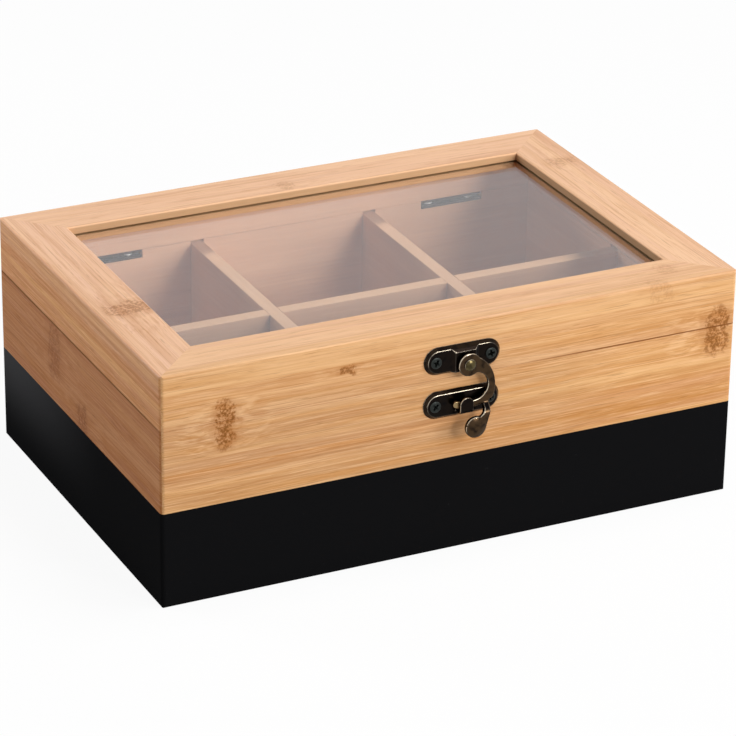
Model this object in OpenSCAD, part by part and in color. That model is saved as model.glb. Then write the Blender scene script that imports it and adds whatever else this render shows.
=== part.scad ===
// Tea bag organizer box: a bamboo box with a glazed lid, six compartments,
// two butt hinges at the back and a swing hook latch on the front.
// Millimetres, +Z up, front face towards -Y, origin in the middle of the underside.

/* [Box] */
// Length of the box, left to right
box_length = 217; // [200:1:240]
// Depth of the box, front to back
box_depth = 148; // [140:1:170]
// Height of the base, up to the seam
base_height = 65; // [60:1:75]
// Height of the lid, above the seam
lid_height = 20; // [19:1:26]
// Thickness of the side walls of base and lid
wall_thickness = 7; // [6:0.5:8]
// Radius of the four upright outer corners
corner_radius = 1.5; // [1:0.1:2.5]
// Radius of the eased long edges
edge_ease = 0.6; // [0.3:0.1:0.8]
// Radius of the eased outer edges where base and lid meet
seam_ease = 0.2; // [0.1:0.1:0.6]
// Height of the black paint on the outside of the base
paint_height = 35; // [20:1:45]

/* [Lid frame and glass] */
// Width of the four rails round the glass
rail_width = 19; // [17:0.5:24]
// Thickness of the rails
rail_thickness = 7; // [6.5:0.5:8]
// Wood left above the glass
glass_cover = 3; // [2.5:0.1:3.2]
// Thickness of the glass
glass_thickness = 2; // [1.6:0.1:2.2]
// How far the glass reaches into the rails
glass_bite = 4; // [3:0.5:6]
// Clearance round the glass in its groove
glass_gap = 0.15; // [0.1:0.05:0.3]

/* [Bottom and dividers] */
// Thickness of the bottom panel
panel_thickness = 4; // [3:0.5:6]
// Height of the panel's underside above the table
panel_recess = 3; // [2:0.5:5]
// Depth of the grooves that hold the panel
panel_bite = 3; // [2:0.5:4]
// Thickness of the dividers
divider_thickness = 5; // [4:0.5:6]
// Depth of the housings that the dividers stand in
divider_bite = 2; // [1.5:0.5:3]
// How far the dividers end below the rim of the base
divider_drop = 1; // [0.3:0.1:2]
// Clearance of the dividers in their housings and half laps
joint_gap = 0.1; // [0.05:0.05:0.2]

/* [Hinges] */
// Distance from each end of the box to the middle of its hinge
hinge_inset = 39.5; // [32:0.5:52]
// Length of a hinge
hinge_length = 25; // [20:1:30]
// Number of knuckles, an odd number
knuckle_count = 5; // [3:2:7]
// Thickness of the hinge leaves
leaf_thickness = 0.9; // [0.7:0.1:1]
// Outer diameter of the knuckles
barrel_diameter = 3.2; // [3:0.1:3.6]
// Diameter of the hinge pin
pin_diameter = 1.6; // [1.2:0.1:1.8]
// Clearance of the pin in its bore, on the radius
pin_clearance = 0.05; // [0.03:0.01:0.08]
// End clearance between neighbouring knuckles
knuckle_gap = 0.2; // [0.1:0.05:0.4]
// Distance between the two screws of a leaf
hinge_screw_spacing = 16.5; // [12:0.5:17]

/* [Latch] */
// Place of the latch along the front, right of the middle
latch_x = 1.5; // [-40:0.1:40]
// Length of a latch plate
plate_length = 29; // [27:0.5:32]
// Width of a latch plate
plate_width = 10.5; // [10:0.1:11]
// Thickness of the plates' sheet
plate_sheet = 0.8; // [0.6:0.1:1]
// Height of a plate's pressed field off the wood
plate_height = 1.4; // [1.3:0.1:1.6]
// Height of the lid plate's middle, above the seam
lid_plate_rise = 7; // [6.5:0.1:9]
// Depth of the base plate's middle, below the seam
base_plate_drop = 9.3; // [8.5:0.1:10]
// Distance between the two screws of a plate
latch_screw_spacing = 20.6; // [19:0.1:21]
// Extra height of the lid plate's embossed middle
emboss_height = 0.8; // [0.6:0.1:1]
// Place of the pivot, right of the plate's middle
pivot_right = 1.4; // [0.5:0.1:2]
// Place of the pivot, below the lid plate's middle
pivot_drop = 1.9; // [1.2:0.1:2.2]
// Thickness of the hook
hook_thickness = 1.4; // [1:0.1:1.6]
// Radius of the hook's eye
eye_radius = 4.2; // [4:0.1:5]
// Diameter of the pivot rivet's shank
rivet_diameter = 3; // [2:0.1:3.4]
// Radius of the hook finger's middle line about the pivot
finger_radius = 14.8; // [14:0.1:15.2]
// Width of the hook's finger
finger_width = 2.4; // [1.8:0.1:2.6]
// Radius of the thumb tab at the end of the hook's tail
tab_radius = 3.9; // [3.4:0.1:4.4]
// How far the thumb tab stands out from the arm
tab_offset = 3.2; // [3.1:0.1:4.5]
// Width of the keeper tongue
tongue_width = 5.1; // [4.5:0.1:5.6]
// Clearance between hook and plates, and between finger and tongue
hook_gap = 0.2; // [0.15:0.05:0.3]
// Clearance on the radius between the rivet and the hook
rivet_clearance = 0.05; // [0.03:0.01:0.08]

/* [Hidden] */

$fn = 96;
small = 0.01;
beyond = 20;

bamboo = [0.87, 0.69, 0.48];
divider_wood = [0.82, 0.65, 0.47];
black_paint = [0.07, 0.07, 0.08];
clear_glass = [0.8, 0.88, 0.88, 0.35];
bronze = [0.22, 0.18, 0.13];
worn_bronze = [0.36, 0.31, 0.2];
dark_steel = [0.3, 0.31, 0.31];
bright_steel = [0.62, 0.62, 0.62];

box_height = base_height + lid_height;
inner_length = box_length - 2 * wall_thickness;
inner_depth = box_depth - 2 * wall_thickness;
front_y = -box_depth / 2;
back_y = box_depth / 2;

// Lid levels, measured from the table
rail_z = box_height - rail_thickness;
glass_top_z = box_height - glass_cover;
glass_z = glass_top_z - glass_thickness;
window_length = box_length - 2 * rail_width;
window_depth = box_depth - 2 * rail_width;

// Panel and dividers
floor_z = panel_recess + panel_thickness;
divider_top_z = base_height - divider_drop;
divider_height = divider_top_z - floor_z;
divider_x = (inner_length + divider_thickness) / 6;
lap_height = divider_height / 2;
lap_z = floor_z + lap_height;

// Hinges: the folded leaves lie in a gain cut in the top edge of the back wall
barrel_radius = barrel_diameter / 2;
gain_depth = barrel_diameter;
hinge_spacing = box_length - 2 * hinge_inset;
barrel_stand_off = 0.2;
hinge_y = back_y + barrel_radius + barrel_stand_off;
hinge_z = base_height - barrel_radius;
knuckle_pitch = hinge_length / knuckle_count;
gain_length = hinge_length + 0.4;
leaf_inset = 0.3;
leaf_reach = 0.1;
pin_overhang = 0.4;
hinge_screw_y = back_y - wall_thickness / 2;
hinge_shank = 1.8;
hinge_head = 3.2;
hinge_head_height = 0.5;
hinge_screw_length = 8;

// Latch: heights off the wood are measured from the front face
lid_plate_z = base_height + lid_plate_rise;
base_plate_z = base_height - base_plate_drop;
pivot_x = latch_x + pivot_right;
pivot_z = lid_plate_z - pivot_drop;
plate_slope = 1.3;
emboss_length = 10;
emboss_shift = 0.5;
emboss_slope = 1.2;
emboss_drop = plate_width / 2 - plate_slope / 2;
emboss_front = plate_height + emboss_height;
hook_back = emboss_front + hook_gap;
hook_front = hook_back + hook_thickness;
rivet_head_radius = 2.3;
rivet_head_height = 0.9;
tongue_back = hook_front + 2 * hook_gap;
tongue_front = tongue_back + plate_sheet;
tongue_root_z = base_plate_z - plate_width / 2 + 2;
tongue_top_z = base_plate_z + plate_width / 2 - 2.3;
tongue_bend = 1.6;
latch_shank = 2;
latch_head_radius = 2.05;
latch_head_height = 0.5;
latch_screw_length = 5.5;
peen_radius = rivet_diameter / 2 + 0.5;
peen_height = 0.6;

// Hook: places are measured from its pivot, x right and y up
finger_outer = finger_radius + finger_width / 2;
finger_inner = finger_radius - finger_width / 2;
finger_root_angle = -68;
finger_tip_angle = -109;
arm_outer_x = -3.2;
arm_outer_y = -8.9;
arm_outer_radius = 13;
arm_inner_x = 2;
arm_inner_y = -8.25;
arm_inner_radius = 5.05;
tail_top_x = 6.9;
tail_top_y = -12;
tail_top_radius = 1.3;
tail_bend_y = -finger_inner - 0.3;
tab_x = 1.2;
tab_y = -finger_outer - 6.1;
scoop_x = 0.3;
scoop_y = tab_y + 8;
scoop_radius = 5;
tab_rise = 0.9;

// A rectangle from the origin whose four corners are rounded, each by its own radius
module eased_rect(w, h, bl, br, tr, tl) {
    difference() {
        square([w, h]);
        corner_cut(0, 0, bl, 0);
        corner_cut(w, 0, br, 90);
        corner_cut(w, h, tr, 180);
        corner_cut(0, h, tl, 270);
    }
}

module corner_cut(x, y, r, turn) {
    if (r > 0) {
        translate([x, y])
            rotate(turn)
                difference() {
                    translate([-small, -small])
                        square(r + small);
                    translate([r, r])
                        circle(r);
                }
    }
}

// The plan of the whole box: every outer piece is cut to it
module box_plan() {
    r = corner_radius;
    translate([-box_length / 2, -box_depth / 2])
        eased_rect(box_length, box_depth, r, r, r, r);
}

// A board along the front: its section, drawn with x as depth from the front face and
// y as height, runs the whole length and is mitred at both ends
module front_board(length, z) {
    intersection() {
        translate([0, front_y, z])
            rotate([90, 0, 90])
                linear_extrude(length + small, center = true)
                    children();
        mitre_wedge(length / 2, box_depth / 2);
    }
}

// The part of the plan that belongs to a front board: bounded by the two mitre planes
module mitre_wedge(half_length, half_depth) {
    reach = min(half_length, half_depth) - 1;
    linear_extrude(box_height + beyond)
        polygon([
            [-half_length, -half_depth],
            [half_length, -half_depth],
            [half_length - reach, -half_depth + reach],
            [-half_length + reach, -half_depth + reach]
        ]);
}

// A board along the left side, mitred to the front and back boards
module left_board(z) {
    intersection() {
        translate([-box_length / 2, 0, z])
            rotate([90, 0, 0])
                linear_extrude(box_depth + small, center = true)
                    children();
        side_wedge();
    }
}

module side_wedge() {
    reach = min(box_length, box_depth) / 2 - 1;
    linear_extrude(box_height + beyond)
        polygon([
            [-box_length / 2, -box_depth / 2],
            [-box_length / 2 + reach, -box_depth / 2 + reach],
            [-box_length / 2 + reach, box_depth / 2 - reach],
            [-box_length / 2, box_depth / 2]
        ]);
}

// Rounds the upright corners of what it is given
module to_plan() {
    intersection() {
        children();
        linear_extrude(box_height + beyond)
            box_plan();
    }
}

// Section of a base wall: outer edges eased, a groove for the bottom panel
module base_section() {
    difference() {
        eased_rect(wall_thickness, base_height, edge_ease, 0, edge_ease / 2, seam_ease);
        translate([wall_thickness - panel_bite, panel_recess - joint_gap])
            square([panel_bite + small, panel_thickness + 2 * joint_gap]);
    }
}

// Section of a lid wall
module lid_section() {
    height = lid_height - rail_thickness;
    eased_rect(wall_thickness, height, seam_ease, edge_ease / 2, 0, 0);
}

// Section of a rail: eased on top, grooved for the glass on its inner side
module rail_section() {
    groove_z = glass_z - rail_z - glass_gap;
    groove_depth = glass_bite + glass_gap;
    difference() {
        eased_rect(rail_width, rail_thickness, 0, 0, edge_ease, edge_ease);
        translate([rail_width - groove_depth, groove_z])
            square([groove_depth + small, glass_thickness + 2 * glass_gap]);
    }
}

// Shows the paint: the same solid, black up to the paint line on the outside
module painted() {
    color(bamboo)
        intersection() {
            children();
            translate([-box_length, -box_depth, paint_height])
                cube([2 * box_length, 2 * box_depth, box_height]);
        }
    color(black_paint)
        intersection() {
            children();
            translate([-box_length, -box_depth, -1])
                cube([2 * box_length, 2 * box_depth, paint_height + 1]);
        }
}

// Housing for a divider's end, cut upwards from the floor through the rim
module housing(x, y) {
    width = divider_thickness + 2 * joint_gap;
    translate([x, y, floor_z - small])
        rotate(x == 0 ? 0 : 90)
            translate([-width / 2, -divider_bite, 0])
                cube([width, 2 * divider_bite, base_height]);
}

module divider_housings(y) {
    for (side = [-1, 1])
        translate([side * divider_x, 0, 0])
            housing(0, y);
}

module base_front_wall() {
    painted()
        difference() {
            to_plan()
                front_board(box_length, 0)
                    base_section();
            divider_housings(-inner_depth / 2);
            latch_pilots(base_plate_z);
        }
}

module base_back_wall() {
    painted()
        difference() {
            to_plan()
                mirror([0, 1, 0])
                    front_board(box_length, 0)
                        base_section();
            divider_housings(inner_depth / 2);
            for (side = [-1, 1]) {
                hinge_gain(side);
                hinge_pilots(side, -1);
            }
        }
}

module base_left_wall() {
    painted()
        difference() {
            to_plan()
                left_board(0)
                    base_section();
            housing(-inner_length / 2, 0);
        }
}

module base_right_wall() {
    painted()
        difference() {
            to_plan()
                mirror([1, 0, 0])
                    left_board(0)
                        base_section();
            housing(inner_length / 2, 0);
        }
}

module bottom_panel() {
    length = inner_length + 2 * (panel_bite - joint_gap);
    depth = inner_depth + 2 * (panel_bite - joint_gap);
    color(divider_wood)
        translate([-length / 2, -depth / 2, panel_recess])
            cube([length, depth, panel_thickness]);
}

// A divider stood on the floor, with its top edge eased
module divider_board(length) {
    t = divider_thickness;
    e = edge_ease / 2;
    translate([0, -t / 2, floor_z])
        rotate([90, 0, 90])
            linear_extrude(length, center = true)
                eased_rect(t, divider_height, 0, 0, e, e);
}

// The slot of a half lap, drawn about its middle
module lap_slot(width, depth) {
    cube([width, depth, base_height], center = true);
}

// The left to right divider is slotted from above, the two others from below
module long_divider() {
    color(divider_wood)
        difference() {
            divider_board(inner_length + 2 * (divider_bite - joint_gap));
            for (side = [-1, 1])
                translate([side * divider_x, 0, lap_z - joint_gap + base_height / 2])
                    lap_slot(divider_thickness + 2 * joint_gap, 2 * divider_thickness);
        }
}

module short_divider(side) {
    color(divider_wood)
        difference() {
            translate([side * divider_x, 0, 0])
                rotate(90)
                    divider_board(inner_depth + 2 * (divider_bite - joint_gap));
            translate([side * divider_x, 0, lap_z + joint_gap - base_height / 2])
                lap_slot(2 * divider_thickness, divider_thickness + 2 * joint_gap);
        }
}

module short_divider_left() {
    short_divider(-1);
}

module short_divider_right() {
    short_divider(1);
}

module lid_front_wall() {
    color(bamboo)
        difference() {
            to_plan()
                front_board(box_length, base_height)
                    lid_section();
            latch_pilots(lid_plate_z);
        }
}

module lid_back_wall() {
    color(bamboo)
        difference() {
            to_plan()
                mirror([0, 1, 0])
                    front_board(box_length, base_height)
                        lid_section();
            for (side = [-1, 1])
                hinge_pilots(side, 1);
        }
}

module lid_left_wall() {
    color(bamboo)
        to_plan()
            left_board(base_height)
                lid_section();
}

module lid_right_wall() {
    color(bamboo)
        to_plan()
            mirror([1, 0, 0])
                left_board(base_height)
                    lid_section();
}

module lid_front_rail() {
    color(bamboo)
        to_plan()
            front_board(box_length, rail_z)
                rail_section();
}

module lid_back_rail() {
    color(bamboo)
        to_plan()
            mirror([0, 1, 0])
                front_board(box_length, rail_z)
                    rail_section();
}

module lid_left_rail() {
    color(bamboo)
        to_plan()
            left_board(rail_z)
                rail_section();
}

module lid_right_rail() {
    color(bamboo)
        to_plan()
            mirror([1, 0, 0])
                left_board(rail_z)
                    rail_section();
}

module glass_pane() {
    length = window_length + 2 * glass_bite;
    depth = window_depth + 2 * glass_bite;
    color(clear_glass)
        translate([-length / 2, -depth / 2, glass_z])
            cube([length, depth, glass_thickness]);
}

// The gain takes both folded leaves and runs right through the back wall
module hinge_gain(side) {
    translate([side * hinge_spacing / 2 - gain_length / 2, inner_depth / 2 - 1, base_height - gain_depth])
        cube([gain_length, wall_thickness + 2, gain_depth + 1]);
}

// Places its children at the two screws of a hinge leaf
module hinge_screw_places(side) {
    for (end = [-1, 1])
        translate([side * hinge_spacing / 2 + end * hinge_screw_spacing / 2, hinge_screw_y, 0])
            children();
}

// Pilot holes of a leaf's screws: down into the base, or up into the lid
module hinge_pilots(side, up) {
    seat = up > 0 ? base_height : base_height - gain_depth;
    hinge_screw_places(side)
        translate([0, 0, seat])
            mirror([0, 0, up > 0 ? 0 : 1])
                translate([0, 0, -1])
                    cylinder(d = hinge_shank, h = hinge_screw_length + 1);
}

// Where a knuckle starts, from the hinge's middle
function knuckle_x(i) = -hinge_length / 2 + i * knuckle_pitch + knuckle_gap / 2;

// Knuckle segments with an even number belong to the base leaf, the others to the lid leaf
module knuckles(first) {
    for (i = [first : 2 : knuckle_count - 1])
        translate([knuckle_x(i), hinge_y, hinge_z])
            rotate([0, 90, 0])
                cylinder(r = barrel_radius, h = knuckle_pitch - knuckle_gap);
}

// The flat of a leaf: full length over the wood, fingers out to its own knuckles.
// It is drawn for the base leaf and mirrored at the pin's height for the lid leaf.
module leaf_flat(first) {
    back_edge = back_y + leaf_reach;
    inner_edge = back_y - wall_thickness + leaf_inset;
    translate([-hinge_length / 2, inner_edge, hinge_z - barrel_radius])
        cube([hinge_length, back_edge - inner_edge, leaf_thickness]);
    for (i = [first : 2 : knuckle_count - 1])
        translate([knuckle_x(i), back_edge - leaf_thickness, hinge_z - barrel_radius])
            cube([knuckle_pitch - knuckle_gap, hinge_y - back_edge + leaf_thickness, leaf_thickness]);
}

module hinge_leaf(side, first) {
    flip = first == 0 ? 0 : 1;
    color(bright_steel)
        difference() {
            translate([side * hinge_spacing / 2, 0, 0])
                union() {
                    translate([0, 0, flip * 2 * hinge_z])
                        mirror([0, 0, flip])
                            leaf_flat(first);
                    knuckles(first);
                }
            translate([side * hinge_spacing / 2, hinge_y, hinge_z])
                rotate([0, 90, 0])
                    cylinder(r = pin_diameter / 2 + pin_clearance, h = hinge_length + 2, center = true);
            hinge_screw_places(side)
                translate([0, 0, base_height - gain_depth - 1])
                    cylinder(d = hinge_shank + 0.2, h = gain_depth + 2);
        }
}

module hinge_left_base_leaf() {
    hinge_leaf(-1, 0);
}

module hinge_left_lid_leaf() {
    hinge_leaf(-1, 1);
}

module hinge_right_base_leaf() {
    hinge_leaf(1, 0);
}

module hinge_right_lid_leaf() {
    hinge_leaf(1, 1);
}

module hinge_pin(side) {
    length = hinge_length - knuckle_gap + 2 * pin_overhang;
    color(dark_steel)
        translate([side * hinge_spacing / 2, hinge_y, hinge_z])
            rotate([0, 90, 0])
                cylinder(d = pin_diameter, h = length, center = true);
}

module hinge_left_pin() {
    hinge_pin(-1);
}

module hinge_right_pin() {
    hinge_pin(1);
}

// A round-headed screw that points along -Z, its head standing on z = 0
module screw(shank, length, head_radius, head_height) {
    point = shank;
    difference() {
        union() {
            cylinder(r1 = head_radius, r2 = head_radius * 0.8, h = head_height);
            translate([0, 0, -length + point])
                cylinder(d = shank, h = length - point + small);
            translate([0, 0, -length])
                cylinder(d1 = 0.2, d2 = shank, h = point + small);
        }
        cross_recess(head_radius, head_height);
    }
}

// The cross in a screw's head
module cross_recess(head_radius, head_height) {
    arm = head_radius * 1.1;
    blade = head_radius * 0.26;
    for (turn = [45, 135])
        rotate(turn)
            translate([-arm / 2, -blade / 2, head_height * 0.3])
                cube([arm, blade, head_height]);
}

module hinge_screw() {
    screw(hinge_shank, hinge_screw_length - leaf_thickness, hinge_head / 2, hinge_head_height);
}

// Screws of both hinges: base screws point down, lid screws point up
module hinge_base_screws() {
    color(bright_steel)
        for (side = [-1, 1])
            hinge_screw_places(side)
                translate([0, 0, base_height - gain_depth + leaf_thickness])
                    hinge_screw();
}

module hinge_lid_screws() {
    color(bright_steel)
        for (side = [-1, 1])
            hinge_screw_places(side)
                translate([0, 0, base_height - leaf_thickness])
                    mirror([0, 0, 1])
                        hinge_screw();
}

// Turns what is drawn flat, x right, y up and z towards the viewer, onto the front face
module on_front(x, z) {
    translate([x, front_y, z])
        rotate([90, 0, 0])
            children();
}

// Pilot holes of a latch plate's two screws
module latch_pilots(z) {
    on_front(latch_x, z)
        for (end = [-1, 1])
            translate([end * latch_screw_spacing / 2, 0, -latch_screw_length])
                cylinder(d = latch_shank, h = latch_screw_length + 1);
}

// A slab with half-round ends and sloping sides, standing on z = 0
module sloped_obround(length, width, height, slope) {
    r = width / 2;
    straight = length - width;
    for (end = [0, 180])
        rotate(end)
            translate([straight / 2, 0, 0])
                rotate(-90)
                    rotate_extrude(angle = 180)
                        polygon([[0, 0], [r, 0], [r - slope, height], [0, height]]);
    rotate([90, 0, 90])
        linear_extrude(straight, center = true)
            polygon([[-r, 0], [r, 0], [r - slope, height], [-r + slope, height]]);
}

// A plate is pressed from sheet: sloping rim and flat field in front
module plate_front() {
    sloped_obround(plate_length, plate_width, plate_height, plate_slope);
}

// What is taken out of a plate: the hollow behind its field, and two screw holes
module plate_hollow() {
    wall = plate_sheet * 1.2;
    depth = plate_height - plate_sheet;
    translate([0, 0, -small])
        sloped_obround(plate_length - 2 * wall, plate_width - 2 * wall, depth, plate_slope / 2);
    for (end = [-1, 1])
        translate([end * latch_screw_spacing / 2, 0, -1])
            cylinder(d = latch_shank + 0.2, h = plate_height + 2);
}

// The embossed seat of the pivot: a plateau that slopes down to the field at its two ends
// and above. Its hollow is the same shape, set back by the thickness of the sheet.
module emboss(back) {
    end = emboss_length / 2 - back;
    top = plate_width / 2 - plate_slope - back;
    foot = plate_height - back;
    crown = emboss_front - back;
    width = 2 * plate_width;
    intersection() {
        translate([emboss_shift, 0, 0])
            rotate([90, 0, 0])
                linear_extrude(width, center = true)
                    emboss_side(end, emboss_slope, end, foot, crown);
        rotate([90, 0, 90])
            linear_extrude(width, center = true)
                emboss_side(emboss_drop - back, 0, top, foot, crown);
    }
}

// Section of the plateau: upright to the foot, then its right side, and its left side by
// left_slope, leans in to the crown
module emboss_side(left, left_slope, right, foot, crown) {
    polygon([
        [-left, 0],
        [right, 0],
        [right, foot],
        [right - emboss_slope, crown],
        [-left + left_slope, crown],
        [-left, foot]
    ]);
}

module latch_lid_plate() {
    color(bronze)
        on_front(latch_x, lid_plate_z)
            difference() {
                union() {
                    plate_front();
                    emboss(0);
                }
                plate_hollow();
                translate([0, 0, -small])
                    emboss(plate_sheet);
                translate([pivot_right, -pivot_drop, -1]) {
                    cylinder(d = rivet_diameter + 2 * rivet_clearance, h = emboss_front + 2);
                    cylinder(r = peen_radius + rivet_clearance, h = emboss_front - plate_sheet + 1);
                }
            }
}

// The tongue's side view: x is height off the wood, y is height above its root
module tongue_side() {
    t = plate_sheet;
    bend = tongue_bend;
    rise = tongue_top_z - tongue_root_z;
    translate([plate_height - t, 0])
        square([tongue_front - bend - plate_height + t, t]);
    translate([tongue_back, bend])
        square([t, rise - bend]);
    intersection() {
        translate([tongue_front - bend, 0])
            square(bend);
        translate([tongue_front - bend, bend])
            difference() {
                circle(bend);
                circle(bend - t);
            }
    }
}

// The keeper: a tongue that stands on the field and turns up, open at its rounded top.
// The finger lies behind it and above its root.
module tongue() {
    half = tongue_width / 2;
    rise = tongue_top_z - tongue_root_z;
    root = tongue_root_z - base_plate_z;
    intersection() {
        translate([0, root, 0])
            rotate([0, -90, 0])
                linear_extrude(tongue_width + 1, center = true)
                    tongue_side();
        union() {
            translate([-half, root - 1, 0])
                cube([tongue_width, rise + 1 - half, beyond]);
            translate([0, root + rise - half, 0])
                cylinder(r = half, h = beyond);
        }
    }
}

module latch_base_plate() {
    color(bronze)
        on_front(latch_x, base_plate_z) {
            difference() {
                plate_front();
                plate_hollow();
            }
            tongue();
        }
}

// The unit vector at an angle from +X
function along(angle) = [cos(angle), sin(angle)];

// Outline of the hook about its pivot, x right and y up, without the tail
module hook_outline() {
    circle(eye_radius);
    intersection() {
        difference() {
            translate([arm_outer_x, arm_outer_y])
                circle(arm_outer_radius);
            translate([arm_inner_x, arm_inner_y])
                circle(arm_inner_radius);
        }
        translate([arm_inner_x, -2 * finger_radius])
            square([beyond, 2 * finger_radius + eye_radius]);
        circle(finger_outer);
    }
    finger();
}

// The finger: an arc about the pivot, so that it slides behind the tongue without touching it
module finger() {
    far = 2 * finger_outer;
    intersection() {
        difference() {
            circle(finger_outer);
            circle(finger_inner);
        }
        polygon([
            [0, 0],
            far * along(finger_tip_angle),
            far * along(finger_root_angle)
        ]);
    }
    translate(finger_radius * along(finger_tip_angle))
        circle(finger_width / 2);
}

// Outline of the tail: a comma that runs down from the arm and flows into the tab.
// Its outer edge is the straight line that touches both circles, its inner edge is a scoop.
module tail_outline() {
    reach = [tail_top_x - tab_x, tail_top_y - tab_y];
    lean = atan2(reach.y, reach.x);
    side = lean - acos((tab_radius - tail_top_radius) / norm(reach));
    difference() {
        union() {
            translate([tail_top_x, tail_top_y])
                circle(tail_top_radius);
            polygon([
                [tab_x, tab_y],
                [tab_x, tab_y] + tab_radius * along(side),
                [tail_top_x, tail_top_y] + tail_top_radius * along(side),
                [tail_top_x, tail_top_y] - tail_top_radius * along(side),
                [tab_x, tab_y] - tab_radius * along(side)
            ]);
        }
        translate([scoop_x, scoop_y])
            circle(scoop_radius);
    }
    tab_outline();
}

module tab_outline() {
    translate([tab_x, tab_y])
        circle(tab_radius);
}

// Side view of the tail: x is height off the wood, y is height about the pivot.
// It leaves the arm's plane, joggles outwards and runs on to the tab.
module tail_side() {
    t = hook_thickness;
    bend = tab_offset / 2;
    mid = bend + t / 2;
    start = tail_bend_y;
    turn = 60;
    step_x = bend * 2 + t;
    drop = 2 * mid * sin(turn);
    side_step = 2 * mid * (1 - cos(turn));
    run = (tab_offset - side_step) / tan(turn);
    translate([hook_back, start])
        square([t, 3]);
    bend_arc([hook_back + step_x - bend, start], bend, t, 180, 180 + turn);
    bend_arc([hook_back + tab_offset - bend, start - drop - max(0, run)], bend, t, 0, turn);
    translate([hook_back + step_x - bend - mid * cos(turn), start - mid * sin(turn)])
        leg(turn, max(0, tab_offset - side_step));
    translate([hook_back + tab_offset, -beyond * 2])
        square([t, beyond * 2 + start - drop - max(0, run) + small]);
}

// A bent strip: part of a ring of thickness t whose inner radius is r
module bend_arc(centre, r, t, from, to) {
    far = 4 * (r + t);
    translate(centre)
        intersection() {
            difference() {
                circle(r + t);
                circle(r);
            }
            polygon([[0, 0], far * along(from), far * along((from + to) / 2), far * along(to)]);
        }
}

// A straight stretch of strip between two bends
module leg(turn, across) {
    length = across / sin(turn);
    if (length > small)
        rotate(-90 + turn)
            translate([-small, -hook_thickness / 2])
                square([length + 2 * small, hook_thickness]);
}

module latch_hook() {
    color(worn_bronze)
        on_front(pivot_x, pivot_z)
            difference() {
                union() {
                    translate([0, 0, hook_back])
                        linear_extrude(hook_thickness)
                            hook_outline();
                    intersection() {
                        linear_extrude(beyond)
                            tail_outline();
                        rotate([0, -90, 0])
                            linear_extrude(4 * beyond, center = true)
                                tail_side();
                    }
                    tab_dome();
                }
                translate([0, 0, -1])
                    cylinder(d = rivet_diameter + 2 * rivet_clearance, h = beyond);
            }
}

// The tab's pillowed front: a low cap of a ball
module tab_dome() {
    front = hook_front + tab_offset;
    translate([tab_x, tab_y, 0])
        low_dome(tab_radius, tab_rise, front - small);
}

// A cap of a ball: as wide as radius at the height of its foot, and rising above it
module low_dome(radius, rise, foot) {
    ball = (radius * radius + rise * rise) / (2 * rise);
    intersection() {
        translate([0, 0, foot])
            cylinder(r = radius, h = beyond);
        translate([0, 0, foot + rise - ball])
            sphere(ball);
    }
}

// The rivet: domed head in front of the hook, shank through eye and plate, peened behind
module latch_pivot_rivet() {
    head_z = hook_front + hook_gap / 2;
    back_z = emboss_front - plate_sheet;
    color(worn_bronze)
        on_front(pivot_x, pivot_z) {
            translate([0, 0, back_z - peen_height])
                cylinder(r = peen_radius, h = peen_height);
            translate([0, 0, back_z - small])
                cylinder(d = rivet_diameter, h = head_z - back_z + 2 * small);
            low_dome(rivet_head_radius, rivet_head_height, head_z);
        }
}

module latch_screws(z) {
    length = latch_screw_length + plate_height;
    color(dark_steel)
        on_front(latch_x, z)
            for (end = [-1, 1])
                translate([end * latch_screw_spacing / 2, 0, plate_height])
                    screw(latch_shank, length, latch_head_radius, latch_head_height);
}

module latch_lid_screws() {
    latch_screws(lid_plate_z);
}

module latch_base_screws() {
    latch_screws(base_plate_z);
}

base_front_wall();
base_back_wall();
base_left_wall();
base_right_wall();
bottom_panel();
long_divider();
short_divider_left();
short_divider_right();
lid_front_wall();
lid_back_wall();
lid_left_wall();
lid_right_wall();
lid_front_rail();
lid_back_rail();
lid_left_rail();
lid_right_rail();
glass_pane();
hinge_left_base_leaf();
hinge_left_lid_leaf();
hinge_left_pin();
hinge_right_base_leaf();
hinge_right_lid_leaf();
hinge_right_pin();
hinge_base_screws();
hinge_lid_screws();
latch_lid_plate();
latch_hook();
latch_pivot_rivet();
latch_lid_screws();
latch_base_plate();
latch_base_screws();
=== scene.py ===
"""Finishes of a tea bag organizer box: strip bamboo in two tones, a glazed lid,
zinc plated hinges and an antique bronze swing hook latch. Metres, +Z up."""

import math

import bmesh
import bpy
from bpy.props import FloatProperty, FloatVectorProperty, PointerProperty
from mathutils import Matrix, Vector


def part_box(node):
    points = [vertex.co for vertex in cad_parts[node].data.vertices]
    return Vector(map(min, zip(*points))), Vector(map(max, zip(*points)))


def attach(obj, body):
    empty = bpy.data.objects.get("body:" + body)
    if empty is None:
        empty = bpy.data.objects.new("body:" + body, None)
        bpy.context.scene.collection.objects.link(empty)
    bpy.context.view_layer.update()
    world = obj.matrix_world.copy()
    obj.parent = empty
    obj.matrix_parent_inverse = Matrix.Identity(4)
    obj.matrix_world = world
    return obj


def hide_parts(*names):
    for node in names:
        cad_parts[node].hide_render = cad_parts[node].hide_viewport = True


bl_info = {
    "name": "Tea Bag Organizer Box",
    "version": (1, 0, 0),
    "blender": (4, 5, 0),
    "location": "View3D > Sidebar > Tea Box",
    "description": "Finishes a bamboo tea bag box with a glazed lid and a swing hook latch",
    "category": "Object",
}

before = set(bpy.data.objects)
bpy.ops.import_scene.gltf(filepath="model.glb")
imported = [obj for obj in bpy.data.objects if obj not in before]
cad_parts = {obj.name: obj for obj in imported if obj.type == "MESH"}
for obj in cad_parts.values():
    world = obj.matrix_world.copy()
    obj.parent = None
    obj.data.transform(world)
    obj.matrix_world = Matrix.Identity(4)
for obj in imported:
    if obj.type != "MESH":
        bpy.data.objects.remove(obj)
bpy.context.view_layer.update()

MM = 0.001

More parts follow.
